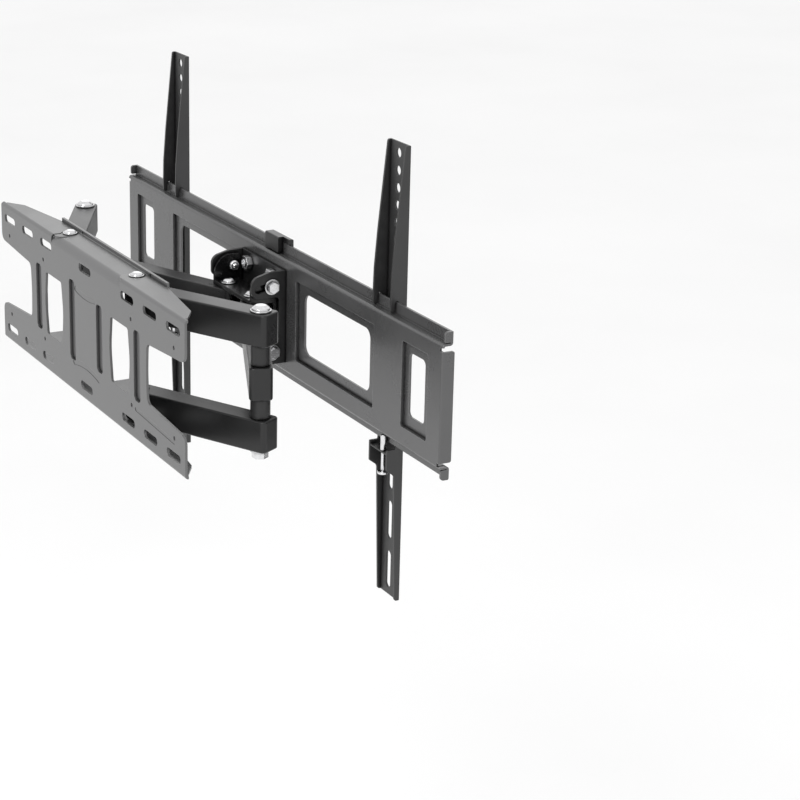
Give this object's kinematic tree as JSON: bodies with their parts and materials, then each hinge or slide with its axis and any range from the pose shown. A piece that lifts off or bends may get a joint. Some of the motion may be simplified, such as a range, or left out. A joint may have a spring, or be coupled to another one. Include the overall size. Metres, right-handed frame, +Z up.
{
  "type": "tv wall mount",
  "caption": "Full motion wall mount for a flat television: slotted wall plate, two folding arms, tilting head, long plate with hooked uprights that slide.",
  "frame": {"origin": "centre of the wall plate's face towards the wall", "axes": "+X to the right along the plates, +Y from the wall towards the television, +Z up"},
  "size_m": [0.676, 0.2068, 0.4251],
  "materials": {
    "plate_grey": "satin",
    "arm_black": "satin",
    "zinc": "zinc plated",
    "bush_black": "matte"
  },
  "bodies": {
    "wall": {"wall_plate": "plate_grey", "shoulder_bolts": "zinc", "shoulder_nuts": "zinc", "shoulder_spacers": "bush_black"},
    "right_arm": {"right_arm_upper_box": "arm_black", "right_arm_lower_box": "arm_black", "right_elbow_bushes": "bush_black", "right_elbow_bolt": "zinc", "right_elbow_washer": "zinc", "right_elbow_nut": "zinc"},
    "right_forearm": {"right_forearm": "arm_black"},
    "left_arm": {"left_arm_upper_box": "arm_black", "left_arm_lower_box": "arm_black", "left_elbow_bushes": "bush_black", "left_elbow_bolt": "zinc", "left_elbow_washer": "zinc", "left_elbow_nut": "zinc"},
    "left_forearm": {"left_forearm": "arm_black"},
    "head": {"pivot_yoke": "arm_black", "head_pivot_bolts": "zinc", "head_pivot_nuts": "zinc", "tilt_lock_bolts": "zinc", "tilt_pivot_bolts": "zinc", "tilt_washers": "zinc", "tilt_nuts": "zinc"},
    "tv_side": {"tilt_bracket": "arm_black", "tv_plate": "plate_grey", "bracket_bolts": "zinc", "bracket_nuts": "zinc", "centre_clip": "arm_black"},
    "right_upright": {"right_upright": "arm_black", "right_safety_screw": "zinc"},
    "left_upright": {"left_upright": "arm_black", "left_safety_screw": "zinc"}
  },
  "joints": [
    {"name": "right_shoulder", "type": "hinge", "parent": "wall", "child": "right_arm", "pos_m": [0.082, 0.0183, 0], "axis": [0, 0, 1], "range_deg": [-27.5, 60]},
    {"name": "right_elbow", "type": "hinge", "parent": "right_arm", "child": "right_forearm", "pos_m": [0.20496, 0.08313, 0], "axis": [0, 0, 1], "range_deg": [-109, 50]},
    {"name": "head_pivot", "type": "hinge", "parent": "right_forearm", "child": "head", "pos_m": [0.0252, 0.161, 0], "axis": [0, 0, 1], "range_deg": [-22.3, 48.5]},
    {"name": "left_shoulder", "type": "hinge", "parent": "wall", "child": "left_arm", "pos_m": [-0.082, 0.0183, 0], "axis": [0, 0, 1], "range_deg": [-60.1, 27.6]},
    {"name": "left_elbow", "type": "hinge", "parent": "left_arm", "child": "left_forearm", "pos_m": [-0.20496, 0.08313, 0], "axis": [0, 0, 1], "range_deg": [-50, 109]},
    {"name": "tilt", "type": "hinge", "parent": "head", "child": "tv_side", "pos_m": [0, 0.1735, -0.0329], "axis": [1, 0, 0], "range_deg": [-12, 2]},
    {"name": "right_upright_slide", "type": "slide", "parent": "tv_side", "child": "right_upright", "axis": [1, 0, 0], "range_m": [-0.15, 0.09]},
    {"name": "left_upright_slide", "type": "slide", "parent": "tv_side", "child": "left_upright", "axis": [1, 0, 0], "range_m": [-0.08, 0.195]}
  ],
  "couplings": [
    {"joint": "right_elbow", "follows": "right_shoulder", "ratio": -1.805},
    {"joint": "head_pivot", "follows": "right_shoulder", "ratio": 0.805},
    {"joint": "left_shoulder", "follows": "right_shoulder", "ratio": -1},
    {"joint": "left_elbow", "follows": "right_shoulder", "ratio": 1.805}
  ]
}
